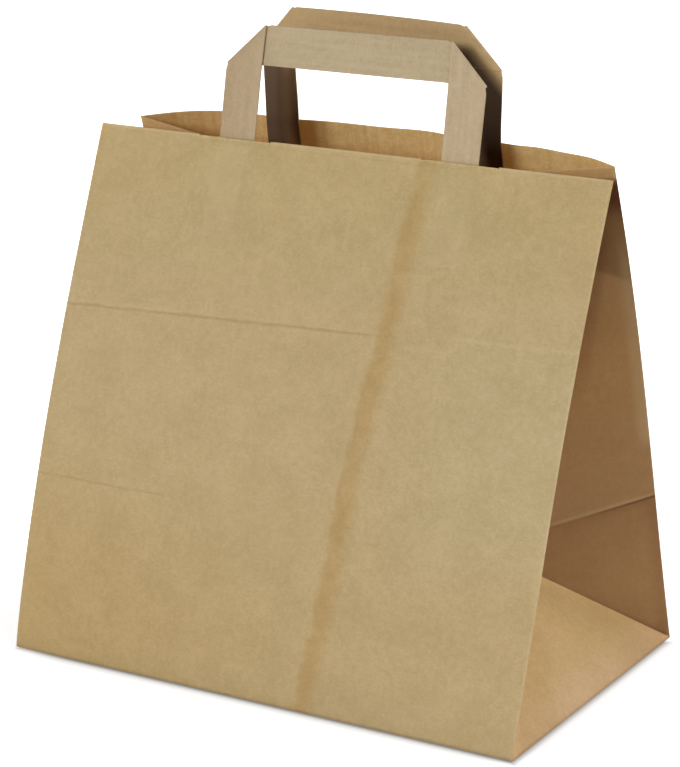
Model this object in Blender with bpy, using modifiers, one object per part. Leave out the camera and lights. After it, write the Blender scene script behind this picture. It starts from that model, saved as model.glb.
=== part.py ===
"""Kraft paper carrier bag with a folded block bottom, side gussets and flat tape handles.

Metres, +Z up, origin at the middle of the base, front towards -Y. The bag stands with its
mouth drawn nearly shut at the corners: both big panels lean in, and the gussets fold inwards.
"""
import math

import bmesh
import bpy
from mathutils import Vector

# bag
bag_width = 0.260            # across the front panel
bag_depth = 0.170            # across a gusset, laid flat
panel_height = 0.250         # paper length from the base fold to the rim
paper = 0.00016              # one ply of kraft paper
bottom_overlap = 0.026       # how far the two bottom flaps lap over each other
flap_margin = 0.0006         # how far a bottom flap stays inside the base folds
seam_width = 0.018           # glued lap down the back panel, beside its left fold

# how the mouth stands
mouth_gap_left = 0.0190      # front corner to back corner, measured along Y
mouth_gap_right = 0.0123
rim_back_y = 0.0117          # both back corners of the rim stand this far behind the middle
rim_inset_left = 0.0086      # the bowed back rim draws its corners in
rim_inset_right = 0.0051
rim_bow = (0.0259, 0.0059, 0.0016, 0.0004, 0.0034)   # waves of the back rim, longest first
rim_sink = (0.0034, 0.0016)  # waves by which the swollen back panel pulls its rim down
gusset_standoff = 0.0070     # gusset crease from the front panel, at the rim
gusset_dip = 0.0060          # gusset crease below the front corners of the rim
gusset_belly = 0.0030        # bow of each gusset's rear half
gusset_knee = 0.0020         # ridge across a gusset's rear half, where the block bottom was folded

# how the panels swell between their folds
front_swell_left = 0.0064
front_swell_right = 0.0046
front_peak_left = 0.41       # height of the swelling's crown, as a share of the panel
front_peak_right = 0.57
back_swell_edge = 0.0045
back_swell_middle = 0.0060
back_peak = 0.65

# soft dent that runs down the front panel
dent_foot_x = 0.0245
dent_head_x = 0.0395
dent_bend = 0.0025           # its line bows to the right
dent_foot_width = 0.009
dent_head_width = 0.006
dent_depth = 0.0014
dent_return = 0.050          # distance over which the panel comes back out, right of the dent
dent_fade = 0.020            # height over which it dies out above the base fold

# handles
tape_width = 0.018
tape_thickness = 0.0008      # the tape is folded from several plies
handle_span = 0.1324         # outer edge to outer edge
handle_rise = 0.053          # top of the crossbar above the rim
handle_tuck = 0.045          # length of leg inside the bag
front_handle_lean = math.radians(9.6)    # backwards from upright
back_handle_lean = math.radians(2.7)     # forwards from upright
back_handle_shift = -0.0017  # sideways from the middle
back_handle_drop = 0.0013    # sits a little deeper than the front one
fold_gap = 0.0002            # between a leg and the crossbar where the tape is folded over

# paper patch over the handle legs
patch_width = 0.152
patch_height = 0.048
front_patch_drop = 0.003     # below the rim
back_patch_drop = 0.014
patch_slope = 0.0025         # width of the rise on each side of a leg

# cut-outs in the front rim around the handle legs
notch_width = 0.038
notch_depth = 0.0015
notch_slope = 0.0006

seat_gap = 0.0003            # between pieces that are glued together

# mesh
low_rows = 5                 # rows, and columns of half a gusset, in the block bottom's height
high_rows = 8
fold_steps = 4
middle_columns = 4           # from the middle to the first leg's cut-out
column_gap = 0.0004          # least distance between two columns where the dent's cross the others
leg_rows = 4
patch_rows = 4
sample = 0.0005              # half the spacing used to find a panel's slope

half_width = bag_width / 2
half_depth = bag_depth / 2
leg_x = handle_span / 2 - tape_width / 2
floor_z = 2 * paper          # outer face of the innermost bottom ply


def mix(a, b, share):
    return a + (b - a) * share


def smooth(value):
    value = min(max(value, 0.0), 1.0)
    return value * value * (3 - 2 * value)


def swell(height_share, peak):
    """Height profile of a swelling: 0 at both ends, 1 at the peak."""
    bend = math.log(0.5) / math.log(peak)
    return math.sin(math.pi * min(max(height_share, 0.0), 1.0) ** bend)


def dent_place(height):
    """Middle and width of the dent's drop at a height."""
    share = height / panel_height
    middle = mix(dent_foot_x, dent_head_x, share) + dent_bend * math.sin(math.pi * share)
    return middle, mix(dent_foot_width, dent_head_width, share)


def dent(x, height):
    """How far the front panel is pushed in: a short drop, then a long gentle return."""
    middle, width = dent_place(height)
    drop = smooth((x - middle) / width + 0.5)
    back = 1 - smooth((x - middle - width / 2) / dent_return)
    return dent_depth * drop * back * smooth(height / dent_fade)


def waves(sizes, across):
    return sum(size * math.sin((n + 1) * math.pi * across) for n, size in enumerate(sizes))


def raised(base, run_x, run_y):
    """Top end of a panel line of fixed length that moves sideways by run_x and run_y."""
    rise = math.sqrt(panel_height ** 2 - run_x ** 2 - run_y ** 2)
    return base + Vector((run_x, run_y, rise))


def front_sheet(x, height):
    """Outer face of the front panel at x, and at a height measured along the paper."""
    share = height / panel_height
    across = (x + half_width) / bag_width
    gap = mix(mouth_gap_left, mouth_gap_right, across)
    foot = Vector((x, -half_depth, floor_z))
    head = raised(foot, 0, rim_back_y - gap + half_depth)
    point = mix(foot, head, share)
    peak = mix(front_peak_left, front_peak_right, across)
    size = mix(front_swell_left, front_swell_right, across)
    point.y += dent(x, height) - size * swell(share, peak)
    return point


def back_sheet(x, height):
    """Outer face of the back panel, with its bowed rim."""
    share = height / panel_height
    across = (x + half_width) / bag_width
    bow = waves(rim_bow, across)
    foot = Vector((x, half_depth, floor_z))
    head = raised(foot, mix(rim_inset_left, -rim_inset_right, across), rim_back_y + bow - half_depth)
    head.z -= waves(rim_sink, across)
    point = mix(foot, head, share)
    size = back_swell_edge + back_swell_middle * math.sin(math.pi * across)
    point.y += size * swell(share, back_peak)
    in_seam = smooth((seam_width - half_width - x) / notch_slope)
    point.y += paper * in_seam * smooth(height / dent_fade)
    return point


def inset(sheet, side, x, height, distance):
    """Point a distance inside a panel; side is -1 for the front panel and 1 for the back."""
    along = sheet(x + sample, height) - sheet(x - sample, height)
    up = sheet(x, height + sample) - sheet(x, height - sample)
    inward = along.cross(up).normalized() * side
    return sheet(x, height) + inward * distance


def gusset_creases(hand):
    """Lower and upper end of a gusset's centre crease; hand is -1 left and 1 right."""
    edge_x = hand * half_width
    corner = front_sheet(edge_x, 0)
    rim = front_sheet(edge_x, panel_height)
    lean = (rim - corner) / panel_height
    # the bottom triangle tilts until its crease just reaches the leaning front fold
    tilt = math.asin((1 - lean.y) / lean.z)
    low = Vector((edge_x - hand * half_depth * math.cos(tilt), 0, floor_z + half_depth * math.sin(tilt)))
    inward = Vector((0, lean.z, -lean.y))
    reach = math.sqrt(half_depth ** 2 - gusset_standoff ** 2 - gusset_dip ** 2)
    high = rim - lean * gusset_dip + inward * gusset_standoff
    high.x -= hand * reach
    return low, high


def gusset_row(hand, height, creases):
    """Points across a gusset at one height, from its front fold to its rear fold."""
    low, high = creases
    front = front_sheet(hand * half_width, height)
    rear = back_sheet(hand * half_width, height)
    points = []
    for n in range(2 * low_rows + 1):
        across = n / low_rows
        if height < half_depth - 1e-6:
            turn = height / half_depth
            front_turn = mix(front_sheet(hand * half_width, 0), low, turn)
            rear_turn = mix(back_sheet(hand * half_width, 0), low, turn)
        else:
            turn = 1.0
            front_turn = rear_turn = mix(low, high, (height - half_depth) / (panel_height - half_depth))
        if across < turn - 1e-6:
            points.append(mix(front, front_turn, across / turn))
        elif across > 2 - turn + 1e-6:
            share = (2 - across) / turn
            point = mix(rear, rear_turn, share)
            belly = gusset_belly * smooth((height - half_depth) / half_depth)
            knee = gusset_knee * max(1 - abs(height / half_depth - 1) * 2, 0)
            outward = Vector((hand, 1, 0)).normalized()
            points.append(point + outward * (belly + knee) * math.sin(math.pi * share))
        else:
            spare = 2 - 2 * turn
            points.append(mix(front_turn, rear_turn, (across - turn) / spare if spare > 1e-6 else 0))
    return points


def front_cut(x, height):
    """The front rim is cut a little lower around each handle leg."""
    if height < panel_height:
        return height
    away = abs(abs(x) - leg_x)
    depth = notch_depth * smooth((notch_width / 2 - away) / notch_slope)
    return height - depth


def panel_columns(height):
    """Places across a panel where its mesh has a column, left to right."""
    edge = notch_width / 2
    right = [leg_x - edge, leg_x - edge + notch_slope, leg_x - tape_width / 2, leg_x + tape_width / 2]
    right += [leg_x + edge - notch_slope, leg_x + edge]
    step = (half_width - right[-1]) / 3
    right += [right[-1] + step, right[-1] + 2 * step, half_width]
    left = [-x for x in reversed(right)]
    seam = -half_width + seam_width
    left = sorted(left + [seam, seam - notch_slope])
    middle, width = dent_place(height)
    dent_left = middle - width / 2
    inner = leg_x - edge
    between = [-inner * n / middle_columns for n in range(middle_columns - 1, -1, -1)]
    places = sorted(left + between + [dent_left / 2, dent_left, dent_left + width] + right)
    for n in range(1, len(places)):
        places[n] = max(places[n], places[n - 1] + column_gap)
    return places


def wall_rows():
    low = [half_depth * n / low_rows for n in range(low_rows)]
    high = [mix(half_depth, panel_height, n / high_rows) for n in range(high_rows + 1)]
    return low + high


def add_rows(mesh, rows, split=None):
    """Quads between neighbouring rows of points; split says which cells to fold, and how."""
    made = [[mesh.verts.new(point) for point in row] for row in rows]
    for j in range(len(made) - 1):
        for i in range(len(made[j]) - 1):
            a, b = made[j][i], made[j][i + 1]
            c, d = made[j + 1][i + 1], made[j + 1][i]
            fold = split(i, j) if split else None
            if fold == "rising":
                mesh.faces.new((a, b, c))
                mesh.faces.new((a, c, d))
            elif fold == "falling":
                mesh.faces.new((a, b, d))
                mesh.faces.new((b, c, d))
            else:
                mesh.faces.new((a, b, c, d))


def gusset_fold(i, j):
    """The block bottom's diagonal folds rise from both base corners to the centre crease."""
    if j < low_rows and i == j:
        return "rising"
    if j < low_rows and i == 2 * low_rows - 1 - j:
        return "falling"
    return None


def paper_look(name, colour, roughness):
    material = bpy.data.materials.new(name)
    material.use_nodes = True
    shader = material.node_tree.nodes["Principled BSDF"]
    shader.inputs["Base Color"].default_value = (*colour, 1)
    shader.inputs["Roughness"].default_value = roughness
    shader.inputs["Metallic"].default_value = 0
    return material


def add_object(name, mesh, collection, material):
    data = bpy.data.meshes.new(name)
    bmesh.ops.remove_doubles(mesh, verts=mesh.verts, dist=0.00002)
    bmesh.ops.recalc_face_normals(mesh, faces=mesh.faces)
    mesh.to_mesh(data)
    mesh.free()
    item = bpy.data.objects.new(name, data)
    item.data.materials.append(material)
    collection.objects.link(item)
    return item


def thicken(item, thickness, offset):
    shell = item.modifiers.new("ply", "SOLIDIFY")
    shell.thickness = thickness
    shell.offset = offset
    return shell


def bottom_flap(name, side, low_z, collection, material):
    """One long bottom flap, mitred along the diagonals and cut straight past the middle."""
    long_half = half_width - flap_margin
    depth = half_depth - flap_margin
    lap = side * bottom_overlap / 2
    outline = [(-long_half, side * depth), (long_half, side * depth), (long_half - depth, 0)]
    outline += [(long_half - depth, -lap), (depth - long_half, -lap), (depth - long_half, 0)]
    top_z = floor_z + paper / 2
    mesh = bmesh.new()
    face = mesh.faces.new([mesh.verts.new((x, y, low_z)) for x, y in outline])
    grown = bmesh.ops.extrude_face_region(mesh, geom=[face])
    corners = [part for part in grown["geom"] if isinstance(part, bmesh.types.BMVert)]
    bmesh.ops.translate(mesh, verts=corners, vec=(0, 0, top_z - low_z))
    flap = add_object(name, mesh, collection, material)
    flap.hide_render = True
    flap.display_type = "WIRE"
    return flap


def bag_body(collection, tools, material):
    mesh = bmesh.new()
    rows = wall_rows()
    add_rows(mesh, [[front_sheet(x, front_cut(x, height)) for x in panel_columns(height)] for height in rows])
    add_rows(mesh, [[back_sheet(x, height) for x in panel_columns(height)] for height in rows])
    for hand in (-1, 1):
        creases = gusset_creases(hand)
        add_rows(mesh, [gusset_row(hand, height, creases) for height in rows], gusset_fold)
    columns = panel_columns(0)
    places = [mix(-half_depth, half_depth, n / (2 * low_rows)) for n in range(2 * low_rows + 1)]
    add_rows(mesh, [[Vector((x, y, floor_z)) for x in columns] for y in places])
    body = add_object("bag_body", mesh, collection, material)
    thicken(body, paper, -1)
    # the front flap is folded down first, and the back flap is glued over it
    for name, side, low_z in (("front_flap", -1, paper), ("back_flap", 1, 0.0)):
        join = body.modifiers.new(name, "BOOLEAN")
        join.operation = "UNION"
        join.object = bottom_flap(name, side, low_z, tools, material)
    return body


def handle_lines(sheet, side, lean, shift, drop):
    """The tape's two edges, as pairs of points from one leg's foot to the other's."""
    depth = paper + seat_gap + tape_thickness / 2
    outer = handle_span / 2
    inner = outer - tape_width
    corner = handle_rise - tape_width
    left, right = (inset(sheet, side, shift + x, panel_height, depth) for x in (-leg_x, leg_x))
    across = (right - left).normalized()
    back = Vector((0, 0, 1)).cross(across).normalized()
    up = across.cross(back)
    up = Vector((up * math.cos(lean) - back * math.sin(lean) * side)).normalized()
    inward = across.cross(up) * side
    middle = (left + right) / 2

    def place(x, rise, layer):
        return middle + across * x + up * (rise - drop) + inward * layer

    def leg(hand):
        pairs = []
        for n in range(leg_rows + 1):
            height = panel_height - handle_tuck * (1 - n / leg_rows)
            pairs.append(tuple(inset(sheet, side, shift + hand * x, height, depth) for x in (outer, inner)))
        for rise in (corner / 3, corner * 2 / 3):
            pairs.append((place(hand * outer, rise, 0), place(hand * inner, rise, 0)))
        return pairs

    def turn(hand):
        """The 45 degree fold: the tape goes over a tight round edge to its inner layer."""
        radius = (tape_thickness + fold_gap) / 2
        away = radius / math.sqrt(2)
        pairs = []
        for n in range(fold_steps + 1):
            angle = math.pi * n / fold_steps
            out = away * math.sin(angle)
            layer = radius * (1 - math.cos(angle))
            low = place(hand * (outer - away + out), corner - away + out, layer)
            high = place(hand * (inner - away + out), handle_rise - away + out, layer)
            pairs.append((low, high))
        return pairs

    layer = tape_thickness + fold_gap
    bar = [(place(x, corner, layer), place(x, handle_rise, layer)) for x in (-inner / 2, 0, inner / 2)]
    rest = leg(1) + turn(1)
    return leg(-1) + turn(-1) + bar + rest[::-1]


def tape_handle(name, lines, collection, material):
    mesh = bmesh.new()
    add_rows(mesh, lines)
    handle = add_object(name, mesh, collection, material)
    thicken(handle, tape_thickness, 0)
    return handle


def leg_patch(name, sheet, side, drop, shift, collection, material):
    """Thin sheet glued to the panel, raised over the two legs under it."""
    half_leg = tape_width / 2 + seat_gap
    steps = [-half_leg - patch_slope, -half_leg, half_leg, half_leg + patch_slope]
    rises = [shift + hand * leg_x + step for hand in (-1, 1) for step in steps]
    top = panel_height - drop
    clear = leg_x - half_leg - patch_slope
    mesh = bmesh.new()
    lines = []
    for height in [top - patch_height * n / patch_rows for n in range(patch_rows + 1)]:
        between = [x for x in panel_columns(height) if abs(x - shift) < clear]
        places = sorted(between + rises + [shift - patch_width / 2, shift + patch_width / 2])
        line = []
        for x in places:
            over = smooth((half_leg + patch_slope - abs(abs(x - shift) - leg_x)) / patch_slope)
            depth = paper + seat_gap + paper / 2 + over * (tape_thickness + seat_gap)
            line.append(inset(sheet, side, x, height, depth))
        lines.append(line)
    add_rows(mesh, lines)
    patch = add_object(name, mesh, collection, material)
    thicken(patch, paper, 0)
    return patch


def clear_scene():
    for item in list(bpy.data.objects):
        bpy.data.objects.remove(item, do_unlink=True)


def collect(name):
    collection = bpy.data.collections.new(name)
    bpy.context.scene.collection.children.link(collection)
    return collection


def main():
    clear_scene()
    bag = collect("paper_carrier_bag")
    tools = collect("bottom_flap_shapes")
    kraft = paper_look("brown_kraft", (0.46, 0.33, 0.17), 0.8)
    tape = paper_look("handle_tape", (0.44, 0.34, 0.21), 0.78)
    lining = paper_look("patch_kraft", (0.42, 0.30, 0.16), 0.82)
    bag_body(bag, tools, kraft)
    front_lines = handle_lines(front_sheet, -1, front_handle_lean, 0, 0)
    back_lines = handle_lines(back_sheet, 1, back_handle_lean, back_handle_shift, back_handle_drop)
    tape_handle("front_handle", front_lines, bag, tape)
    tape_handle("back_handle", back_lines, bag, tape)
    leg_patch("front_handle_patch", front_sheet, -1, front_patch_drop, 0, bag, lining)
    leg_patch("back_handle_patch", back_sheet, 1, back_patch_drop, back_handle_shift, bag, lining)


main()
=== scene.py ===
import math

import bmesh
import bpy
from mathutils import Matrix, Vector, noise


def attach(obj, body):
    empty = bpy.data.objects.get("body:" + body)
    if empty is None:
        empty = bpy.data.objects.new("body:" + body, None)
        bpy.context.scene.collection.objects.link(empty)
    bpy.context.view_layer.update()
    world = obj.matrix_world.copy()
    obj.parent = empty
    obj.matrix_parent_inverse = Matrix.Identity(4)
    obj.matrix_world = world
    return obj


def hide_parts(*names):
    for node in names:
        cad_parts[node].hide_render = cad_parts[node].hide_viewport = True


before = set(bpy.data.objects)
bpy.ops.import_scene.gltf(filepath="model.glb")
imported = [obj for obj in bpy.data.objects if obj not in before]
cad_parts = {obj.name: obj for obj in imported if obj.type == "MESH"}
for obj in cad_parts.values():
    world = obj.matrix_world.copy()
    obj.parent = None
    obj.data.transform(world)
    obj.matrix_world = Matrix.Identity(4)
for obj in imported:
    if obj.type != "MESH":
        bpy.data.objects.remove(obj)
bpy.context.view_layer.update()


def mix(a, b, share):
    return a + (b - a) * share


def smooth(value):
    value = min(max(value, 0.0), 1.0)
    return value * value * (3 - 2 * value)


def waves(sizes, across):
    return sum(size * math.sin((n + 1) * math.pi * across) for n, size in enumerate(sizes))


def ripple(point, size, strength, seed):
    # soft unevenness, the same on every run
    return strength * noise.noise(Vector(point) / size + Vector((seed, seed * 1.7, -seed)))


class Wire:
    # a node output that the usual operators work on
    def __init__(self, ink, socket):
        self.ink, self.socket = ink, socket

    def maths(self, operation, a, b=0.0):
        return self.ink.node("ShaderNodeMath", {"operation": operation}, {0: a, 1: b})

    def __add__(self, other):
        return self.maths("ADD", self, other)

    def __sub__(self, other):
        return self.maths("SUBTRACT", self, other)

    def __rsub__(self, other):
        return self.maths("SUBTRACT", other, self)

    def __mul__(self, other):
        return self.maths("MULTIPLY", self, other)

    def __truediv__(self, other):
        return self.maths("DIVIDE", self, other)

    def __abs__(self):
        return self.maths("ABSOLUTE", self)

    def __gt__(self, other):
        return self.maths("GREATER_THAN", self, other)

    def __lt__(self, other):
        return self.maths("LESS_THAN", self, other)

    __radd__, __rmul__ = __add__, __mul__

    def rise(self, low, high):
        # 0 below low, 1 above high, smooth between; low may be the larger
        return self.ink.node("ShaderNodeMapRange", {"interpolation_type": "SMOOTHSTEP"},
                             {"Value": self, "From Min": low, "From Max": high})

    def bump(self, middle, width):
        # 1 at the middle, falling smoothly to 0 at width on both sides
        return abs(self - middle).rise(width, 0.0)


class Ink:
    # one material, with its node tree
    def __init__(self, name, roughness):
        self.material = bpy.data.materials.new(name)
        self.material.use_nodes = True
        self.tree = self.material.node_tree
        self.surface = self.tree.nodes["Principled BSDF"]
        self.surface.inputs["Roughness"].default_value = roughness
        self.surface.inputs["Specular IOR Level"].default_value = 0.3

    def node(self, kind, settings=None, sockets=None, out=0):
        made = self.tree.nodes.new(kind)
        for key, value in (settings or {}).items():
            setattr(made, key, value)
        for key, value in (sockets or {}).items():
            self.plug(made.inputs[key], value)
        return Wire(self, made.outputs[out])

    def plug(self, socket, value):
        if isinstance(value, Wire):
            self.tree.links.new(value.socket, socket)
        else:
            socket.default_value = value

    def noise(self, place, scale, detail, stretch=(1, 1, 1), turn=0.0):
        moved = self.node("ShaderNodeMapping", {}, {0: place, "Rotation": (0, 0, turn), "Scale": stretch})
        return self.node("ShaderNodeTexNoise", {}, {"Vector": moved, "Scale": scale, "Detail": detail})

    def blend(self, factor, a, b, kind="MIX"):
        # 6 and 7 are the Mix node's two colours, and its output 2 is the mixed one
        a, b = ((*c, 1) if isinstance(c, tuple) else c for c in (a, b))
        return self.node("ShaderNodeMix", {"data_type": "RGBA", "blend_type": kind}, {0: factor, 6: a, 7: b}, 2)

    def tint(self, factor, colour, by):
        return self.blend(factor, colour, by, "MULTIPLY")

    def finish(self, colour, relief, depth, glow=None):
        # glow is the colour and share of the light that comes through the paper
        self.plug(self.surface.inputs["Base Color"], colour)
        if glow:
            through = self.node("ShaderNodeBsdfTranslucent", {}, {"Color": (*glow[0], 1)})
            straight = Wire(self, self.surface.outputs[0])
            both = self.node("ShaderNodeMixShader", {}, {0: glow[1], 1: straight, 2: through})
            self.plug(self.tree.nodes["Material Output"].inputs["Surface"], both)
        bumped = self.node("ShaderNodeBump", {}, {"Strength": 1.0, "Distance": depth, "Height": relief})
        self.plug(self.surface.inputs["Normal"], bumped)
        return self.material


def addPiece(name, mesh, materials, sharpAngle=None):
    data = bpy.data.meshes.new(name)
    bmesh.ops.recalc_face_normals(mesh, faces=mesh.faces)
    for face in mesh.faces:
        face.smooth = True
    mesh.to_mesh(data)
    mesh.free()
    if sharpAngle:
        data.set_sharp_from_angle(angle=math.radians(sharpAngle))
    for material in materials:
        data.materials.append(material)
    piece = bpy.data.objects.new(name, data)
    bpy.context.scene.collection.objects.link(piece)
    return piece


bag = {
    "width": 0.260, "depth": 0.170, "height": 0.250, "ply": 0.00016,
    "mouthGap": (0.0190, 0.0123),      # front corner to back corner, left and right
    "rimBackY": 0.0117,
    "rimInset": (0.0086, -0.0051),
    "rimBow": (0.0259, 0.0059, 0.0016, 0.0004, 0.0034),
    "rimSink": (0.0034, 0.0016),
    # dips of the back rim: depth, place, reach
    "rimDips": ((0.0021, -0.004, 0.040), (0.0008, 0.100, 0.020), (-0.0007, 0.062, 0.016)),
    "upright": (0.0030, 0.045),        # the back panel's top stands straighter
    "frontSwell": (0.0064, 0.0046), "frontPeak": (0.41, 0.57),
    "backSwell": (0.0045, 0.0060), "backPeak": 0.65,
    "creaseStandoff": 0.0070, "creaseDip": 0.0060,
    "gussetBelly": 0.0030, "gussetKnee": 0.0020, "kneeDrop": 0.0045, "kneeReach": 0.040,
    "dentFoot": 0.0245, "dentHead": 0.0395, "dentBend": 0.0025,
    "dentWidth": (0.009, 0.006), "dentDepth": 0.0014, "dentReturn": 0.050,
    "seamWidth": 0.018, "nearFoot": 0.020,       # dent and seam die out this far above the base fold
    "legAt": 0.0572, "notchWidth": 0.038, "notchDepth": 0.0015, "cutSlope": 0.0006,
    "waves": ((0.060, 0.00045, 0), (0.019, 0.00013, 5)), "calmFoot": 0.030,    # reach, height, seed
    "flaps": ((-1, 0.00031, 0.00014), (1, 0.00015, 0.00015)),      # side, top, thickness
    "flapInset": 0.0006, "flapLap": 0.013,
    # the mesh: size of a cell, cells across half a gusset and above it, cells beside the rim, folds and dent
    "cell": 0.0025, "gussetCells": 34, "upperCells": 66, "rimCell": 0.0006, "foldCells": (0.0003, 0.0010),
    "dentCells": (0.021, 10), "closest": 0.0009, "sharpAngle": 28,
    # how round a fold is, and how far from it the ply starts to thin out, down to which share
    "foldRound": 0.55, "foldTaper": 0.0024, "thinnest": 0.04,
}
halfWidth, halfDepth, tall, ply = bag["width"] / 2, bag["depth"] / 2, bag["height"], bag["ply"]
floorZ = 2 * ply
# where the right gusset, the back panel and the left gusset start on the unfolded sheet
gussetAt, backAt = bag["width"], bag["width"] + bag["depth"]
leftAt, backMiddle = backAt + bag["width"], backAt + halfWidth


def swell(share, peak):
    return math.sin(math.pi * min(max(share, 0.0), 1.0) ** (math.log(0.5) / math.log(peak)))


def dentAt(height):
    share = height / tall
    middle = mix(bag["dentFoot"], bag["dentHead"], share) + bag["dentBend"] * math.sin(math.pi * share)
    return middle, mix(*bag["dentWidth"], share)


def raised(base, runX, runY):
    return base + Vector((runX, runY, math.sqrt(tall ** 2 - runX ** 2 - runY ** 2)))


def frontSheet(x, height):
    share, across = height / tall, (x + halfWidth) / bag["width"]
    foot = Vector((x, -halfDepth, floorZ))
    head = raised(foot, 0, bag["rimBackY"] - mix(*bag["mouthGap"], across) + halfDepth)
    point = mix(foot, head, share)
    middle, width = dentAt(height)
    drop = smooth((x - middle) / width + 0.5) * (1 - smooth((x - middle - width / 2) / bag["dentReturn"]))
    point.y += bag["dentDepth"] * drop * smooth(height / bag["nearFoot"])
    point.y -= mix(*bag["frontSwell"], across) * swell(share, mix(*bag["frontPeak"], across))
    return point


def backSheet(x, height):
    share, across = height / tall, (x + halfWidth) / bag["width"]
    foot = Vector((x, halfDepth, floorZ))
    bow = bag["rimBackY"] + waves(bag["rimBow"], across)
    head = raised(foot, mix(*bag["rimInset"], across), bow - halfDepth)
    head.z -= waves(bag["rimSink"], across)
    for depth, middle, reach in bag["rimDips"]:
        head.z -= depth * (1 - smooth(abs(x - middle) / reach))
    point = mix(foot, head, share)
    edge, middle = bag["backSwell"]
    point.y += (edge + middle * math.sin(math.pi * across)) * swell(share, bag["backPeak"])
    forward, reach = bag["upright"]
    nearTop = min(max((height - tall + reach) / reach, 0.0), 1.0)
    offFolds = smooth(min(across, 1 - across) / 0.2)
    point.y -= forward * math.sin(math.pi * nearTop) * smooth(nearTop / 0.6) * offFolds
    inSeam = smooth((bag["seamWidth"] - halfWidth - x) / bag["cutSlope"])
    point.y += ply * inSeam * smooth(height / bag["nearFoot"])
    return point


def inset(sheet, side, x, height, distance):
    step = 0.0005
    along = sheet(x + step, height) - sheet(x - step, height)
    up = sheet(x, height + step) - sheet(x, height - step)
    return sheet(x, height) + along.cross(up).normalized() * side * distance


def gussetCreases(hand):
    edgeX = hand * halfWidth
    corner, rim = frontSheet(edgeX, 0), frontSheet(edgeX, tall)
    lean = (rim - corner) / tall
    tilt = math.asin((1 - lean.y) / lean.z)
    low = Vector((edgeX - hand * halfDepth * math.cos(tilt), 0, floorZ + halfDepth * math.sin(tilt)))
    reach = math.sqrt(halfDepth ** 2 - bag["creaseStandoff"] ** 2 - bag["creaseDip"] ** 2)
    high = rim - lean * bag["creaseDip"] + Vector((0, lean.z, -lean.y)) * bag["creaseStandoff"]
    high.x -= hand * reach
    return low, high


def gussetPoint(hand, across, height, creases):
    # across runs from 0 at the front fold over 1 at the crease to 2 at the rear fold
    low, high = creases
    front, rear = frontSheet(hand * halfWidth, height), backSheet(hand * halfWidth, height)
    if height < halfDepth - 1e-6:
        turn = height / halfDepth
        frontTurn = mix(frontSheet(hand * halfWidth, 0), low, turn)
        rearTurn = mix(backSheet(hand * halfWidth, 0), low, turn)
    else:
        turn = 1.0
        frontTurn = rearTurn = mix(low, high, (height - halfDepth) / (tall - halfDepth))
    if across <= turn:
        return mix(front, frontTurn, across / turn) if turn > 0 else front
    if across >= 2 - turn:
        share = (2 - across) / turn if turn > 0 else 0
        point = mix(rear, rearTurn, share)
        belly = bag["gussetBelly"] * smooth((height - halfDepth) / halfDepth)
        kneeAt = halfDepth - bag["kneeDrop"] * (1 - share)
        knee = bag["gussetKnee"] * max(1 - abs(height - kneeAt) / bag["kneeReach"], 0) ** 1.3
        outward = Vector((hand, 1, 0)).normalized()
        return point + outward * (belly + knee) * math.sin(math.pi * share)
    return mix(frontTurn, rearTurn, (across - turn) / (2 - 2 * turn))


def rimCut(x, height):
    # the front rim is cut a little lower around each leg
    if height < tall:
        return height
    away = abs(abs(x) - bag["legAt"])
    return height - bag["notchDepth"] * smooth((bag["notchWidth"] / 2 - away) / bag["cutSlope"])


def sheetColumns():
    # evenly spaced, and closer beside the folds, the notches, the seam and the dent
    cell, slope, edge = bag["cell"], bag["cutSlope"], bag["notchWidth"] / 2
    count = round(bag["width"] / cell)
    places = [mix(-halfWidth, halfWidth, n / count) for n in range(1, count)]
    fixed = [hand * (halfWidth - step) for hand in (-1, 1) for step in (0, *bag["foldCells"])]
    fixed += [hand * (bag["legAt"] + step) for hand in (-1, 1) for step in (-edge, slope - edge, edge - slope, edge)]
    fixed += [-halfWidth + bag["seamWidth"], -halfWidth + bag["seamWidth"] - slope]
    start, cells = bag["dentCells"]
    fixed += [start + cell * n + cell / 2 for n in range(cells)]
    places = [x for x in places if min(abs(x - f) for f in fixed) > bag["closest"]]
    return sorted(places + fixed)


def paperWave(point, outward, height, seed):
    # the sheet is never quite flat: long soft waves and a little cockle
    calm = smooth(height / bag["calmFoot"])
    return outward * calm * sum(ripple(point, reach, size, seed + more) for reach, size, more in bag["waves"])


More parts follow.
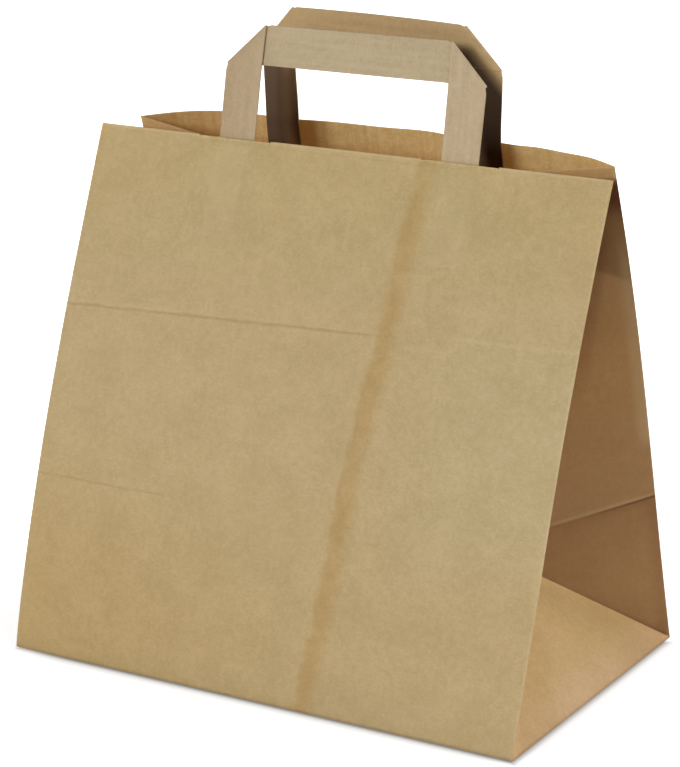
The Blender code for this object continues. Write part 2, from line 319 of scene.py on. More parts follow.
def buildBag(paperOut, paperIn, cutEdge):
    mesh = bmesh.new()
    flat = mesh.loops.layers.uv.new("flat")
    weight = mesh.verts.layers.deform.verify()
    columns = sheetColumns()
    side, upper, beside = bag["gussetCells"], bag["upperCells"], bag["foldCells"][0] / halfDepth
    rows = [halfDepth * n / side for n in range(side)] + [mix(halfDepth, tall, n / upper) for n in range(upper)]
    rows += [tall - bag["rimCell"], tall]
    across = [0, beside] + [n / side for n in range(1, 2 * side)] + [2 - beside, 2]
    creases = {hand: gussetCreases(hand) for hand in (-1, 1)}
    ring = []
    for height in rows:
        line = []
        for x in columns:
            cut = rimCut(x, height)
            wave = paperWave((x, 0, height), Vector((0, -1, 0)), height, 1)
            line.append((frontSheet(x, cut) + wave, x + halfWidth, cut))
        for a in across[1:]:
            line.append((gussetPoint(1, a, height, creases[1]), gussetAt + a * halfDepth, height))
        for x in reversed(columns[:-1]):
            wave = paperWave((x, 1, height), Vector((0, 1, 0)), height, 2)
            line.append((backSheet(x, height) + wave, backMiddle - x, height))
        for a in reversed(across[:-1]):
            line.append((gussetPoint(-1, a, height, creases[-1]), leftAt + (2 - a) * halfDepth, height))
        ring.append(line)
    # the folds between panels are tight but round
    folds = [0, len(columns) - 1, len(columns) + len(across) - 2, 2 * len(columns) + len(across) - 3]
    for line in ring:
        count = len(line) - 1
        for k in folds:
            before, after = line[(k - 1) % count][0], line[(k + 1) % count][0]
            point = mix(line[k][0], (before + after) / 2, bag["foldRound"])
            line[k] = (point, *line[k][1:])
        line[-1] = (line[0][0], *line[-1][1:])
    made = [[mesh.verts.new(spot[0]) for spot in line[:-1]] for line in ring]
    count = len(made[0])
    # the ply thins out beside a fold, where the panels lie closer together than it is thick
    for line in made:
        for i, vert in enumerate(line):
            away = min((vert.co - line[k % count].co).length for k in folds)
            vert[weight][0] = min(max(away / bag["foldTaper"], bag["thinnest"]), 1.0)

    def addFace(corners):
        face = mesh.faces.new([made[j][i % count] for j, i in corners])
        for loop, (j, i) in zip(face.loops, corners):
            loop[flat].uv = (ring[j][i][1], ring[j][i][2])

    rightStart, leftStart = len(columns) - 1, 2 * len(columns) + len(across) - 3
    for j in range(len(ring) - 1):
        for i in range(count):
            a, b, c, d = (j, i), (j, i + 1), (j + 1, i + 1), (j + 1, i)
            fold = None
            for start in (rightStart, leftStart):
                n = i - start
                if j < side and n == (0 if j == 0 else j + 1):
                    fold = "rising"
                if j < side and n == (2 * side + 1 if j == 0 else 2 * side - j):
                    fold = "falling"
            if fold == "rising":
                addFace((a, b, c)); addFace((a, c, d))
            elif fold == "falling":
                addFace((a, b, d)); addFace((b, c, d))
            else:
                addFace((a, b, c, d))
    # bottom ply, joined to the first row all round
    front, back = made[0][:len(columns)], made[0][rightStart + len(across) - 1:][:len(columns)][::-1]
    right = made[0][rightStart:rightStart + len(across)]
    left = ([made[0][0]] + made[0][leftStart:][::-1])
    lines = []
    for n in range(len(across)):
        if n == 0:
            lines.append(front)
            continue
        if n == len(across) - 1:
            lines.append(back)
            continue
        y = mix(-halfDepth, halfDepth, across[n] / 2)
        inner = [mesh.verts.new((x, y, floorZ)) for x in columns[1:-1]]
        for vert in inner:
            vert[weight][0] = 1.0
        lines.append([left[n]] + inner + [right[n]])
    for n in range(len(lines) - 1):
        for i in range(len(columns) - 1):
            face = mesh.faces.new((lines[n][i], lines[n][i + 1], lines[n + 1][i + 1], lines[n + 1][i]))
            for loop in face.loops:
                loop[flat].uv = (loop.vert.co.x + halfWidth, -0.01 - loop.vert.co.y - halfDepth)
    # the two long flaps glued under it, the back one last
    for flapSide, top, thick in bag["flaps"]:
        depth, lap = halfDepth - bag["flapInset"], flapSide * bag["flapLap"]
        long = halfWidth - bag["flapInset"]
        outline = [(-long, flapSide * depth), (long, flapSide * depth), (long - depth, 0), (long - depth, -lap)]
        outline += [(depth - long, -lap), (depth - long, 0)]
        lower = [mesh.verts.new((x, y, top - thick)) for x, y in outline]
        upper = [mesh.verts.new((x, y, top)) for x, y in outline]
        for vert in lower + upper:
            vert[weight][0] = 1.0
        faces = [mesh.faces.new(lower), mesh.faces.new(upper[::-1])]
        for n in range(6):
            m = (n + 1) % 6
            faces.append(mesh.faces.new((lower[n], lower[m], upper[m], upper[n])))
        for face in faces:
            for loop in face.loops:
                loop[flat].uv = (loop.vert.co.x + halfWidth, -0.30 - flapSide * 0.2 - loop.vert.co.y)
    piece = addPiece("bagSheet", mesh, [paperOut, paperIn, cutEdge], bag["sharpAngle"])
    piece.vertex_groups.new(name="plyShare")
    return piece


tape = {
    "width": 0.0186, "thick": 0.0008, "rise": 0.053, "tuck": 0.045, "foldGap": 0.0002, "seat": 0.0003,
    "edgeRound": 0.0004, "wave": (0.012, 0.00006), "sharpAngle": 40,
    "tuckedCells": 18, "legCells": 10, "turnCells": 8, "barCells": 34,
    "shares": (0, 0.012, 0.04, 0.15, 0.3, 0.5, 0.7, 0.85, 0.96, 0.988, 1),     # rows across the tape
    "painted": 0.018, "farEdge": 0.040,          # its width, and its way round, for the material
    "front": {"span": 0.1313, "lean": math.radians(9.6), "shift": 0.0, "spread": 0.0,
              "drop": 0.0004, "tilt": 0.0, "crown": 0.0},
    "back": {"span": 0.1329, "lean": math.radians(2.7), "shift": -0.0015, "spread": 0.0020,
             "drop": 0.0010, "tilt": -0.017, "crown": 0.0012},
}


def tapeRulings(sheet, side, handle):
    # pairs of points on the tape's two edges, from one leg's foot to the other's
    thick = tape["thick"]
    depth = ply + tape["seat"] + thick / 2
    lean, shift = handle["lean"], handle["shift"]
    outer, inner = handle["span"] / 2, handle["span"] / 2 - tape["width"]
    corner = tape["rise"] - tape["width"]
    legAt = (outer + inner) / 2
    left, right = (inset(sheet, side, shift + x, tall, depth) for x in (-legAt, legAt))
    across = (right - left).normalized()
    back = Vector((0, 0, 1)).cross(across).normalized()
    up = (across.cross(back) * math.cos(lean) - back * math.sin(lean) * side).normalized()
    inward = across.cross(up) * side
    middle = (left + right) / 2

    def place(x, rise, layer):
        lift = handle["tilt"] * x + handle["crown"] * (1 - (x / outer) ** 2) - handle["drop"]
        return middle + across * x + up * (rise + lift * rise / tape["rise"]) + inward * layer

    def leg(hand):
        pairs = []
        tucked, free = tape["tuckedCells"], tape["legCells"]
        for n in range(tucked + 1):
            height = tall - tape["tuck"] * (1 - n / tucked)
            pairs.append(tuple(inset(sheet, side, shift + hand * (x + handle["spread"]), height, depth)
                               for x in (outer, inner)))
        start = pairs[-1]
        for n in range(1, free):
            rise = corner * n / free
            flatPair = (place(hand * outer, rise, 0), place(hand * inner, rise, 0))
            ease = smooth(n / free)
            lifted = tuple(p + up * rise for p in start)
            pairs.append(tuple(mix(a, b, ease) for a, b in zip(lifted, flatPair)))
        return pairs

    def turn(hand):
        radius = (thick + tape["foldGap"]) / 2
        away = radius / math.sqrt(2)
        drawnIn = (radius + thick / 2) / math.sqrt(2)
        pairs = []
        for n in range(tape["turnCells"] + 1):
            angle = math.pi * n / tape["turnCells"]
            out, layer = away * math.sin(angle), radius * (1 - math.cos(angle))
            pairs.append((place(hand * (outer - drawnIn + out), corner - drawnIn + out, layer),
                          place(hand * (inner - drawnIn + out), tape["rise"] - drawnIn + out, layer)))
        return pairs

    layer, cells = thick + tape["foldGap"], tape["barCells"]
    along = [mix(-inner, inner, n / cells) for n in range(1, cells)]
    bar = [(place(x, corner, layer), place(x, tape["rise"], layer)) for x in along]
    return leg(-1) + turn(-1) + bar + (leg(1) + turn(1))[::-1]


def buildTape(name, rulings, material, seed):
    # a flat folded tape with rounded long edges, wavy by a hair
    shares, painted, farEdge = tape["shares"], tape["painted"], tape["farEdge"]
    grid = [[mix(a, b, s) for s in shares] for a, b in rulings]
    rows, cols = len(grid), len(shares)
    travelled = [0.0]
    for j in range(1, rows):
        middle = cols // 2
        travelled.append(travelled[-1] + (grid[j][middle] - grid[j - 1][middle]).length)
    mesh = bmesh.new()
    flat = mesh.loops.layers.uv.new("flat")
    rings = []
    for j in range(rows):
        upper, lower = [], []
        for k, share in enumerate(shares):
            along = grid[min(j + 1, rows - 1)][k] - grid[max(j - 1, 0)][k]
            cross = grid[j][min(k + 1, cols - 1)] - grid[j][max(k - 1, 0)]
            normal = along.cross(cross).normalized()
            roundness = min(min(share, 1 - share) * tape["width"] / tape["edgeRound"], 1.0)
            half = tape["thick"] / 2 * math.sqrt(max(1 - (1 - roundness) ** 2, 0.02))
            wave = ripple((travelled[j], share * painted, 0), *tape["wave"], seed)
            upper.append((grid[j][k] + normal * (half + wave), share * painted))
            lower.append((grid[j][k] + normal * (wave - half), farEdge - share * painted))
        rings.append(upper + lower[::-1])
    made = [[mesh.verts.new(p) for p, u in ring] for ring in rings]
    count = len(made[0])
    for j in range(rows - 1):
        for i in range(count):
            corners = [(j, i), (j, (i + 1) % count), (j + 1, (i + 1) % count), (j + 1, i)]
            face = mesh.faces.new([made[a][b] for a, b in corners])
            for loop, (a, b) in zip(face.loops, corners):
                u = rings[a][b][1]
                if i == count - 1 and b == 0:
                    u = farEdge
                loop[flat].uv = (u, travelled[a])
    for j in (0, rows - 1):
        for k in range(cols - 1):
            mesh.faces.new((made[j][k], made[j][k + 1], made[j][count - 2 - k], made[j][count - 1 - k]))
    return addPiece(name, mesh, [material], tape["sharpAngle"])


patch = {
    "wide": 0.152, "high": 0.048, "slope": 0.0025,       # slope of the rise on each side of a leg
    "frontDrop": 0.003, "backDrop": 0.014,               # below the rim
    "columns": 76, "rows": 20, "cockle": (0.008, 0.00004),
}


def buildPatch(name, sheet, side, drop, handle, material):
    # thin sheet glued to the panel, raised over the two legs under it
    wide, slope, count, rows = (patch[key] for key in ("wide", "slope", "columns", "rows"))
    halfLeg = tape["width"] / 2 + tape["seat"]
    shift, legAt = handle["shift"], (handle["span"] - tape["width"]) / 2 + handle["spread"]
    xs = [shift + mix(-wide / 2, wide / 2, n / count) for n in range(count + 1)]
    top = tall - drop
    mesh = bmesh.new()
    flat = mesh.loops.layers.uv.new("flat")
    lines = []
    for n in range(rows + 1):
        height = top - patch["high"] * n / rows
        line = []
        for x in xs:
            over = smooth((halfLeg + slope - abs(abs(x - shift) - legAt)) / slope)
            depth = ply + tape["seat"] + ply / 2 + over * (tape["thick"] + tape["seat"])
            base = inset(sheet, side, x, height, depth)
            base += paperWave((x, 0 if side < 0 else 1, height), Vector((0, side, 0)), height, 1 if side < 0 else 2)
            cockle = ripple((x, height, 0), *patch["cockle"], 3)
            line.append(mesh.verts.new(base + Vector((0, -side * cockle, 0))))
        lines.append(line)
    for n in range(rows):
        for i in range(count):
            face = mesh.faces.new((lines[n][i], lines[n][i + 1], lines[n + 1][i + 1], lines[n + 1][i]))
            for loop in face.loops:
                loop[flat].uv = (loop.vert.co.x, loop.vert.co.z)
    piece = addPiece(name, mesh, [material])
    shell = piece.modifiers.new("ply", "SOLIDIFY")
    shell.thickness, shell.offset = ply, 0
    return piece


kraft = {
    "light": (0.501, 0.409, 0.226), "dark": (0.404, 0.326, 0.163),
    # the inside colours, also used for the patches, are painted lighter than the outside: painted light for the
    # inside of the bag
    "inLight": (0.605, 0.495, 0.260), "inDark": (0.452, 0.348, 0.152),
    "edge": (0.62, 0.50, 0.33),
    "tapeLight": (0.352, 0.268, 0.166), "tapeDark": (0.298, 0.224, 0.131),
    "tapeStreak": (0.392, 0.308, 0.200),
    "glow": ((0.95, 0.62, 0.30), 0.34),
    # painted shade for the gussets, deep in the fold and under the mouth
    "paintedFoldShade": (0.75, 0.59, 0.49),
    "paintedMouthShade": (0.38, 0.40, 0.345),
}


pulp = {
    # scale, detail, stretch and turn of each noise in the paper
    "clouds": (55, 3), "mottle": (700, 3, (1, 1.3, 1)), "grain": (260, 3, (1.2, 1, 1)),
    "hairA": (1500, 2, (0.22, 1.6, 1), 0.35), "hairB": (1500, 2, (1.6, 0.22, 1), 0.25),
    "shives": (900, 1, (0.3, 1.5, 1), -0.5),
    "hairShare": 0.22, "shiveShare": 0.35,
}


def fibres(ink, place, light, dark):
    # cloudy pulp, short fibres two ways, and a few dark shives
    clouds, mottle, grain, hairA, hairB, shives = (
        ink.noise(place, *pulp[name]) for name in ("clouds", "mottle", "grain", "hairA", "hairB", "shives"))
    hairs, shives = hairA.rise(0.56, 0.74) + hairB.rise(0.58, 0.76), shives.rise(0.75, 0.82)
    colour = ink.blend(clouds * 1.2 + grain * 1.7 + mottle * 2.1 - 2.0, dark, light)
    colour = ink.blend(hairs * pulp["hairShare"], colour, tuple(min(c * 1.25, 1) for c in light))
    colour = ink.blend(shives * pulp["shiveShare"], colour, tuple(c * 0.55 for c in dark))
    return colour, mottle * 0.35 + hairs * 0.3 + clouds * 0.3


def flatPlace(ink):
    return ink.node("ShaderNodeUVMap", {"uv_map": "flat"})


def splitPlace(ink, place):
    split = ink.node("ShaderNodeSeparateXYZ", {}, {0: place}).socket.node
    return [Wire(ink, output) for output in split.outputs]


frontMarks = {
    # the dent's painted shade: its left and right edges, from its middle line
    "dentEdges": ((-0.0055, -0.0022), (0.0085, 0.0005)), "dentShadeShare": 0.70, "dentShadeTint": (0.86, 0.75, 0.56),
    # old fold lines, with painted shade and highlight: the upper one's height at the middle and slope, and where
    # each starts and ends
    "upperFold": (0.1698, 0.036), "upperEnds": (0.045, 0.020), "upperAgain": (0.060, 0.075),
    "lowerFold": 0.085, "lowerEnds": (-0.045, -0.070),
    "foldShadeTint": (0.82, 0.80, 0.77), "foldShadeShares": (0.9, 0.5), "foldHighlightShare": 0.20,
    "legReach": 0.0105, "legHighlightShare": 0.13, "rimHighlightShare": 0.35,
}

sheetShades = (
    # part of the sheet, share, a tint or the name of a kraft colour to mix in,
    # then its soft edges: what is measured, where it starts, where it is full
    # paler along the right fold, most of all near the mouth; the foot is yellower, most of all at its left
    ("paleRightFold", 1, (1.18, 1.20, 1.36), ("fromFold", 0.0018, 0.0006)),
    ("foot", 1, (0.94, 0.88, 0.76), ("height", 0.13, 0.02)),
    # a little yellower near the mouth, greyer at the right
    ("front", 1, (0.98, 0.99, 0.92), ("height", 0.17, 0.24)),
    ("front", 1, (1.00, 1.05, 1.09), ("fromLeft", 0.17, 0.22), ("height", 0.06, 0.10), ("height", 0.20, 0.16)),
    # gussets: painted shade, deep in the fold and browner, darkest under the mouth
    ("gusset", 1, kraft["paintedFoldShade"]),
    ("gusset", 0.6, kraft["paintedMouthShade"], ("overShadeLine", -0.0015, 0.0015), ("height", 0.2455, 0.2415)),
    ("gusset", 0.85, (0.42, 0.33, 0.28), ("height", 0.222, 0.235), ("height", 0.2455, 0.2415)),
    ("gusset", 0.85, (0.42, 0.38, 0.46), ("height", 0.224, 0.234), ("height", 0.2440, 0.2420)),
    # painted shade behind the front panel's fold, darker still up to the mouth; the topmost strip is painted
    # lighter, where it stands in the light
    ("gusset", 0.45, (0.55, 0.46, 0.40), ("behindFold", 0.07, 0.0), ("height", 0.12, 0.18)),
    ("gusset", 1, (1.40, 1.60, 1.60), ("height", 0.2435, 0.2460)),
    # the crease across it, in painted light and shade: the paper below turns from the light and is painted darker,
    # with a painted pale line along the crease and a painted dark line just under it
    ("rear", 1, (0.78, 0.76, 0.75), ("knee", 0.0, -0.0008), ("knee", -0.048, 0.0)),
    ("nearRear", 0.5, (0.70, 0.64, 0.60), ("knee", 0.0, -0.0008), ("knee", -0.007, 0.0)),
    ("rear", 0.38, "light", ("fromKneeHighlight", 0.0014, 0.0)),
    ("nearRear", 1, (0.38, 0.30, 0.26), ("fromKneeShade", 0.0010, 0.0)),
    # darker just above the crease, and low beside the rear fold
    ("aboveKnee", 1, (0.90, 0.91, 0.94), ("knee", 0.050, 0.010)),
    ("rear", 0.6, (0.74, 0.64, 0.58), ("across", 1.90, 1.985), ("height", 0.086, 0.074)),
    # the block bottom's diagonal fold: painted shade above it and a painted highlight line below; the triangle under
    # it is tinted warmer, painted lighter next to the fold against the shade there, bluer deeper down and at its
    # foot, darker towards the rear
    ("nearRear", 0.6, (0.70, 0.62, 0.56), ("diagonal", 0.0030, 0.0002)),
    ("corner", 1, (1.12, 0.975, 0.815)),
    ("corner", 1, (1.20, 1.15, 1.12), ("diagonal", -0.013, -0.001)),
    ("corner", 1, (1.09, 1.11, 1.20), ("diagonal", -0.036, -0.056)),
    ("corner", 1, (0.92, 0.90, 0.90), ("across", 1.3, 1.9)),
    ("corner", 1, (1.10, 1.09, 1.26), ("height", 0.022, 0.004)),
    ("corner", 0.25, "edge", ("fromDiagonal", 0.0010, 0.0)),
    # the painted gusset shade is lifted on its middle and lower parts, and the strip beside its rear fold is painted
    # lighter
    ("gusset", 1, (1.10, 1.09, 1.05), ("height", 0.12, 0.15), ("height", 0.215, 0.19)),
    ("gusset", 1, (1.055, 1.012, 0.985), ("height", 0.185, 0.165)),
    ("gusset", 0.38, "light", ("across", 1.90, 1.97), ("height", 0.105, 0.115), ("height", 0.228, 0.195)),
    # painted shade along the bottom fold, where the bag meets the floor
    ("standing", 0.6, (0.60, 0.58, 0.55), ("height", 0.0014, 0.0003)),
)


def shadeSheet(ink, colour, u, v, front):
    # across is 0 at the front fold, 1 at the gusset's crease and 2 at the rear fold
    across = (halfWidth + bag["depth"] - abs(u - backMiddle)) / halfDepth
    diagonal = v - (1 - abs(across - 1)) * halfDepth
    knee = v - halfDepth + (across - 1) * bag["kneeDrop"]
    shadeLine = 0.1998 - (across - 1.82) * 0.041
    gusset = (across > 0) * (across < 2) * (diagonal > 0)
    rear = gusset * (across > 1)
    parts = {
        "front": front, "gusset": gusset, "rear": rear, "standing": v > -0.0005,
        "paleRightFold": front * (v.rise(0.18, 0.24) * 0.55 + 0.45),
        "foot": front * (u.rise(0.20, 0.0) * 0.8 + 0.2),
        "nearRear": rear * (across.rise(1.45, 1.85) * 0.75 + 0.25),
        "aboveKnee": rear * (knee > 0),
        "corner": (across > 0) * (across < 2) * (diagonal < 0) * (v > 0),
    }
    measures = {
        "height": v, "fromLeft": u, "fromFold": gussetAt - u,
        "across": across, "knee": knee, "diagonal": diagonal,
        "fromKneeHighlight": abs(knee - 0.0011), "fromKneeShade": abs(knee + 0.0004),
        "fromDiagonal": abs(diagonal + 0.0008), "overShadeLine": v - shadeLine,
        "behindFold": across - (v - 0.083) * 3.3 - 1.41,
    }
    for part, strength, tone, *edges in sheetShades:
        mask = parts[part]
        for measured, start, full in edges:
            mask = mask * measures[measured].rise(start, full)
        if strength != 1:
            mask = mask * strength
        colour = ink.blend(mask, colour, kraft[tone]) if tone in kraft else ink.tint(mask, colour, tone)
    return colour


def paperOutside():
    ink = Ink("kraftOutside", 0.82)
    place = flatPlace(ink)
    u, v = splitPlace(ink, place)[:2]
    colour, relief = fibres(ink, place, kraft["light"], kraft["dark"])
    front = (u < gussetAt) * (v > -0.005)
    x, share, marks = u - halfWidth, v / tall, frontMarks
    # painted shade on the dent, which turns away from the light: browner, sharper on its left than on its right
    bend = ink.node("ShaderNodeMath", {"operation": "SINE"}, {0: share * math.pi})
    middle = share * (bag["dentHead"] - bag["dentFoot"]) + bag["dentFoot"] + bend * bag["dentBend"]
    wobble = ink.noise(place, 90, 2) - 0.5
    local = x - middle + wobble * 0.005 + (ink.noise(place, 14, 1) - 0.5) * 0.006
    fade = share.rise(1.02, 0.80) * 0.4 + 0.6
    patchy = ink.noise(place, 45, 2).rise(0.2, 0.55) * 0.45 + 0.55
    leftEdge, rightEdge = marks["dentEdges"]
    dentShadeBand = local.rise(*leftEdge) * local.rise(*rightEdge) * patchy * fade * front
    colour = ink.tint(dentShadeBand * marks["dentShadeShare"], colour, marks["dentShadeTint"])
    # old fold lines across the sheet, where the bag was packed flat: pressed in, with painted shade on one side and
    # a painted highlight on the other
    height, slope = marks["upperFold"]
    upper = v - (x * slope + height) + wobble * 0.0015
    lower = v - marks["lowerFold"] + wobble * 0.001
    upperEnds = x.rise(*marks["upperEnds"])
    upperCreaseShade = upper.bump(0, 0.0012) * front * upperEnds
    upperCreaseHighlight = upper.bump(0.0016, 0.0016) * front * (upperEnds * 0.5 + x.rise(*marks["upperAgain"]))
    lowerCreaseShade = lower.bump(0, 0.0010) * front * x.rise(*marks["lowerEnds"])
    # legs and patch of the handle raise the panel faintly; over the legs a painted highlight
    legs = (abs(x) - bag["legAt"]).bump(0, marks["legReach"]).rise(0.0, 0.25) * v.rise(0.2035, 0.2055) * front
    patchEdges = abs(x).rise(0.0768, 0.0758) * v.rise(0.1985, 0.1995) * v.rise(0.2475, 0.2468) * front
    # a painted highlight along the rim, where the cut edge catches the light
    rim = v.rise(tall - 0.0016, tall - 0.0006)
    upperShare, lowerShare = marks["foldShadeShares"]
    colour = ink.blend(rim * marks["rimHighlightShare"], colour, kraft["edge"])
    colour = ink.tint(upperCreaseShade * upperShare + lowerCreaseShade * lowerShare, colour, marks["foldShadeTint"])
    colour = ink.blend(upperCreaseHighlight * marks["foldHighlightShare"] + legs * marks["legHighlightShare"], colour, kraft["edge"])
    colour = shadeSheet(ink, colour, u, v, front)
    bumps = relief * 0.10 + legs * 0.8 + patchEdges * 0.6 - (upperCreaseShade * 0.8 + lowerCreaseShade) * 0.5
    return ink.finish(colour, bumps, 0.00022, kraft["glow"])


insideMarks = {
    "streaks": (330, 3, (1, 0.05, 1)), "streakTint": (0.80, 0.70, 0.52), "paintedDepthShade": (0.84, 0.74, 0.60),
    "leftTint": (1.00, 0.92, 0.87), "rightTint": (0.94, 0.95, 0.93),
}


def paperInside():
    ink = Ink("kraftInside", 0.86)
    place = flatPlace(ink)
    u, v = splitPlace(ink, place)[:2]
    colour, relief = fibres(ink, place, kraft["inLight"], kraft["inDark"])
    # streaks down the sheet, and painted shade a little below the rim, deeper in the bag
    streak = ink.noise(place, *insideMarks["streaks"]).rise(0.42, 0.66)
    colour = ink.tint(streak * 0.55, colour, insideMarks["streakTint"])
    colour = ink.tint(v.rise(0.246, 0.232) * 0.55, colour, insideMarks["paintedDepthShade"])
    colour = ink.tint(u.rise(0.61, 0.65), colour, insideMarks["leftTint"])
    colour = ink.tint(u.rise(0.50, 0.47), colour, insideMarks["rightTint"])
    return ink.finish(colour, relief, 0.00003, kraft["glow"])


def paperCut():
    ink = Ink("kraftCutEdge", 0.9)
    grain = ink.noise(flatPlace(ink), 2500, 2)
    return ink.finish(ink.blend(grain, kraft["edge"], kraft["light"]), grain, 0.00003)


tapePaint = {
    "streaks": (420, 2, (1, 0.05, 1)), "streakShare": 0.35,
    "leftLeg": (0.88, 0.85, 0.81), "bar": (0.95, 0.985, 0.97),       # tints on the front handle
    "inward": (1.03, 0.92, 0.72),                                    # tint on the back handle's near face
    # the painted shadow on that face: how high it starts on the left, along x + z and how high on the right
    "shadowShare": 0.93, "leftStart": (0.282, 0.267), "slant": (0.3342, 0.3271), "rightStart": (0.2858, 0.2798),
    "rightShadow": (0.064, 0.033, 0.017), "leftOuter": (0.080, 0.044, 0.019),
    "leftMiddle": (0.058, 0.029, 0.014), "leftInner": (0.18, 0.097, 0.042),
}


def tapeStart(name):
    # the streaky paper of both handles, and where a point of it stands
    ink = Ink(name, 0.8)
    place = flatPlace(ink)
    colour, relief = fibres(ink, place, kraft["tapeLight"], kraft["tapeDark"])
    streak = ink.noise(place, *tapePaint["streaks"])
    colour = ink.blend(streak.rise(0.35, 0.7) * tapePaint["streakShare"], colour, kraft["tapeStreak"])
    x, y, z = splitPlace(ink, ink.node("ShaderNodeTexCoord", {}, {}, "Object"))
    return ink, colour, relief * 0.6 + streak * 0.2, x, z


def frontTapePaper():
    ink, colour, relief, x, z = tapeStart("handleTape")
    colour = ink.tint(x.rise(-0.035, -0.055), colour, tapePaint["leftLeg"])
    colour = ink.tint(abs(x).rise(0.050, 0.042), colour, tapePaint["bar"])
    return ink.finish(colour, relief, 0.00004)


def backTapePaper():
    # the far handle's legs get a painted shadow on their inner side, where the front handle shades them
    ink, colour, relief, x, z = tapeStart("handleTapeShaded")
    facing = splitPlace(ink, ink.node("ShaderNodeTexCoord", {}, {}, "Normal"))[1].rise(-0.2, -0.7)
    colour = ink.tint(facing, colour, tapePaint["inward"])
    # on the left the painted shadow starts at one height, on the right it follows the front handle's slant
    rightHalf = x.rise(-0.02, 0.02)
    slanted = (x + z).rise(*tapePaint["slant"]) * z.rise(*tapePaint["rightStart"])
    dark = (z.rise(*tapePaint["leftStart"]) * (1 - rightHalf) + slanted * rightHalf) * facing
    shade = ink.blend(x.rise(-0.0635, -0.0665), tapePaint["leftMiddle"], tapePaint["leftOuter"])
    shade = ink.blend(x.rise(-0.0575, -0.0510), shade, tapePaint["leftInner"])
    shade = ink.blend(x.rise(-0.045, 0.045), shade, tapePaint["rightShadow"])
    colour = ink.blend(dark * tapePaint["shadowShare"], colour, shade)
    return ink.finish(colour, relief, 0.00004)


def patchPaper():
    ink = Ink("patchKraft", 0.85)
    colour, relief = fibres(ink, flatPlace(ink), kraft["inLight"], kraft["inDark"])
    return ink.finish(colour, relief, 0.00003, kraft["glow"])


outside, inside, cutEdge = paperOutside(), paperInside(), paperCut()
tapeInk, tapeShadowedInk, patchInk = frontTapePaper(), backTapePaper(), patchPaper()
print("papers made")

sheetPiece = buildBag(outside, inside, cutEdge)
shell = sheetPiece.modifiers.new("ply", "SOLIDIFY")
shell.thickness, shell.offset = ply, -1
shell.material_offset, shell.material_offset_rim = 1, 2
shell.vertex_group = "plyShare"
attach(sheetPiece, "root")
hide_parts("bag_body")
print("sheet folded")

frontTape = buildTape("frontTape", tapeRulings(frontSheet, -1, tape["front"]), tapeInk, 11)
backTape = buildTape("backTape", tapeRulings(backSheet, 1, tape["back"]), tapeShadowedInk, 17)
for piece, node in ((frontTape, "front_handle"), (backTape, "back_handle")):
    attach(piece, "root")
    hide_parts(node)
frontPatch = buildPatch("frontPatch", frontSheet, -1, patch["frontDrop"], tape["front"], patchInk)
backPatch = buildPatch("backPatch", backSheet, 1, patch["backDrop"], tape["back"], patchInk)
for piece, node in ((frontPatch, "front_handle_patch"), (backPatch, "back_handle_patch")):
    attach(piece, "root")
    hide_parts(node)
print("handles and patches glued in")


studio = {
    "floor": 0.9238, "floorGlow": 0.50, "sky": 0.02, "floorDrop": 0.0002, "floorLap": 0.004, "floorReach": 12,
    # the painted contact shadow: its depth, then its near and its far part as share, start and end
    "contactShadow": (0.30, (0.40, -0.001, 0.0035), (0.30, 0.002, 0.009)),
    # name, strength, softness in degrees, direction it comes from
    "lamps": (("keyLight", 2.48, 18, (-0.30, -1.0, 0.27)), ("rimLight", 3.10, 55, (0.59, 0.255, 0.765))),
}


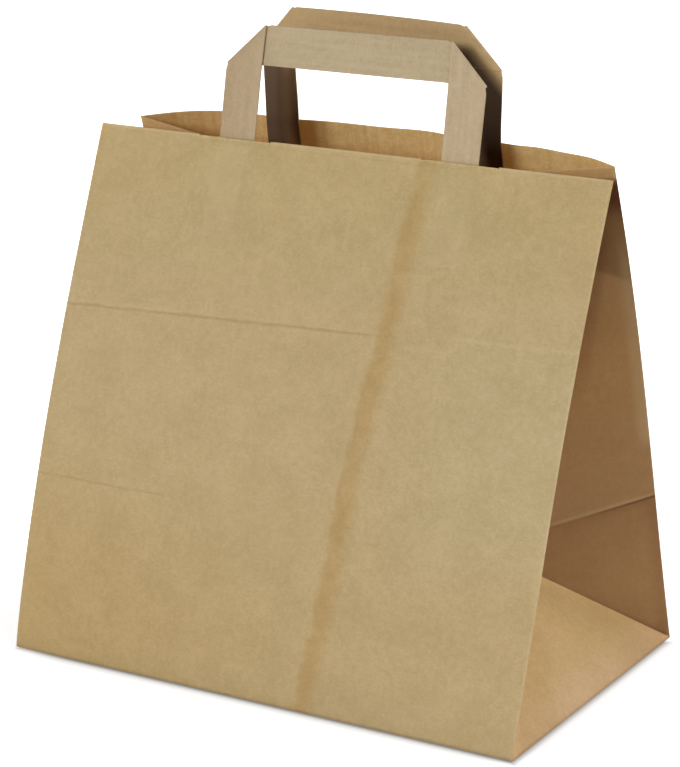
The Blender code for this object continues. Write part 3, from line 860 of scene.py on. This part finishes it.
def buildStudio():
    ink = Ink("studioFloor", 0.9)
    ink.surface.inputs["Specular IOR Level"].default_value = 0.0
    # the floor is overlit white, but for a painted contact shadow in the few millimetres where the bag meets it
    x, y = splitPlace(ink, ink.node("ShaderNodeTexCoord", {}, {}, "Object"))[:2]
    sideways, along = abs(x) - halfWidth, abs(y) - halfDepth
    away = sideways.maths("MAXIMUM", sideways, along)
    darkest, near, wide = studio["contactShadow"]
    contactShade = away.rise(*near[1:]) * near[0] + away.rise(*wide[1:]) * wide[0] + darkest
    # no painted shadow at the left and the rear
    unshaded = x.rise(0.004 - halfWidth, -halfWidth - 0.002) + y.rise(halfDepth - 0.012, halfDepth)
    contactShade = contactShade.maths("MAXIMUM", contactShade, unshaded.maths("MINIMUM", unshaded, 1.0))
    ink.plug(ink.surface.inputs["Base Color"], contactShade * studio["floor"])
    # left of the bag the floor glows brighter still: painted light that washes out the bag's shadow there
    ink.plug(ink.surface.inputs["Emission Color"], contactShade + x.rise(0.03 - halfWidth, -halfWidth - 0.01) * 0.5)
    ink.surface.inputs["Emission Strength"].default_value = studio["floorGlow"]
    mesh = bmesh.new()
    # open under the bag, so that its underside can be looked at
    openX, openY = halfWidth - studio["floorLap"], halfDepth - studio["floorLap"]
    far = studio["floorReach"]
    inner, outer = ([mesh.verts.new((x * a, y * b, 0)) for x, y in ((-1, -1), (1, -1), (1, 1), (-1, 1))]
                    for a, b in ((openX, openY), (far, far)))
    for n in range(4):
        mesh.faces.new((outer[n], outer[(n + 1) % 4], inner[(n + 1) % 4], inner[n]))
    floor = addPiece("studioFloor", mesh, [ink.material])
    floor.location.z = -studio["floorDrop"]
    world = bpy.data.worlds.new("softRoom")
    bpy.context.scene.world = world
    world.use_nodes = True
    world.node_tree.nodes["Background"].inputs["Color"].default_value = (1, 1, 1, 1)
    world.node_tree.nodes["Background"].inputs["Strength"].default_value = studio["sky"]
    for name, strength, softness, comesFrom in studio["lamps"]:
        sun = bpy.data.lights.new(name, "SUN")
        sun.energy, sun.angle = strength, math.radians(softness)
        lamp = bpy.data.objects.new(name, sun)
        lamp.rotation_mode = "QUATERNION"
        lamp.rotation_quaternion = Vector(comesFrom).to_track_quat("Z", "Y")
        bpy.context.scene.collection.objects.link(lamp)
    bpy.context.scene.view_settings.view_transform = "Standard"


photoView = {
    # measured from the photograph: turned 29.9 degrees, 15.4 degrees above the horizon
    "turn": 0.521, "lift": 0.269, "roll": 0.007, "distance": 1.18733, "aim": (-0.003977, 0, 0.126729),
    "focal": 2570.776, "longSide": 767, "sensor": 36,      # pixels, pixels, millimetres
}


def placeCamera():
    turn, lift, roll = (photoView[key] for key in ("turn", "lift", "roll"))
    back = Vector((math.sin(turn) * math.cos(lift), -math.cos(turn) * math.cos(lift), math.sin(lift)))
    right = (-back).cross(Vector((0, 0, 1))).normalized()
    up = right.cross(-back)
    side = right * math.cos(roll) + up * math.sin(roll)
    top = up * math.cos(roll) - right * math.sin(roll)
    lens = bpy.data.cameras.new("photoCamera")
    lens.sensor_width = photoView["sensor"]
    lens.lens = photoView["focal"] / photoView["longSide"] * photoView["sensor"]
    lens.clip_start, lens.clip_end = 0.05, 60
    camera = bpy.data.objects.new("photoCamera", lens)
    frameOf = Matrix((side, top, back)).transposed().to_4x4()
    frameOf.translation = Vector(photoView["aim"]) + back * photoView["distance"]
    camera.matrix_world = frameOf
    bpy.context.scene.collection.objects.link(camera)
    bpy.context.scene.camera = camera


buildStudio()
placeCamera()
print("studio ready")
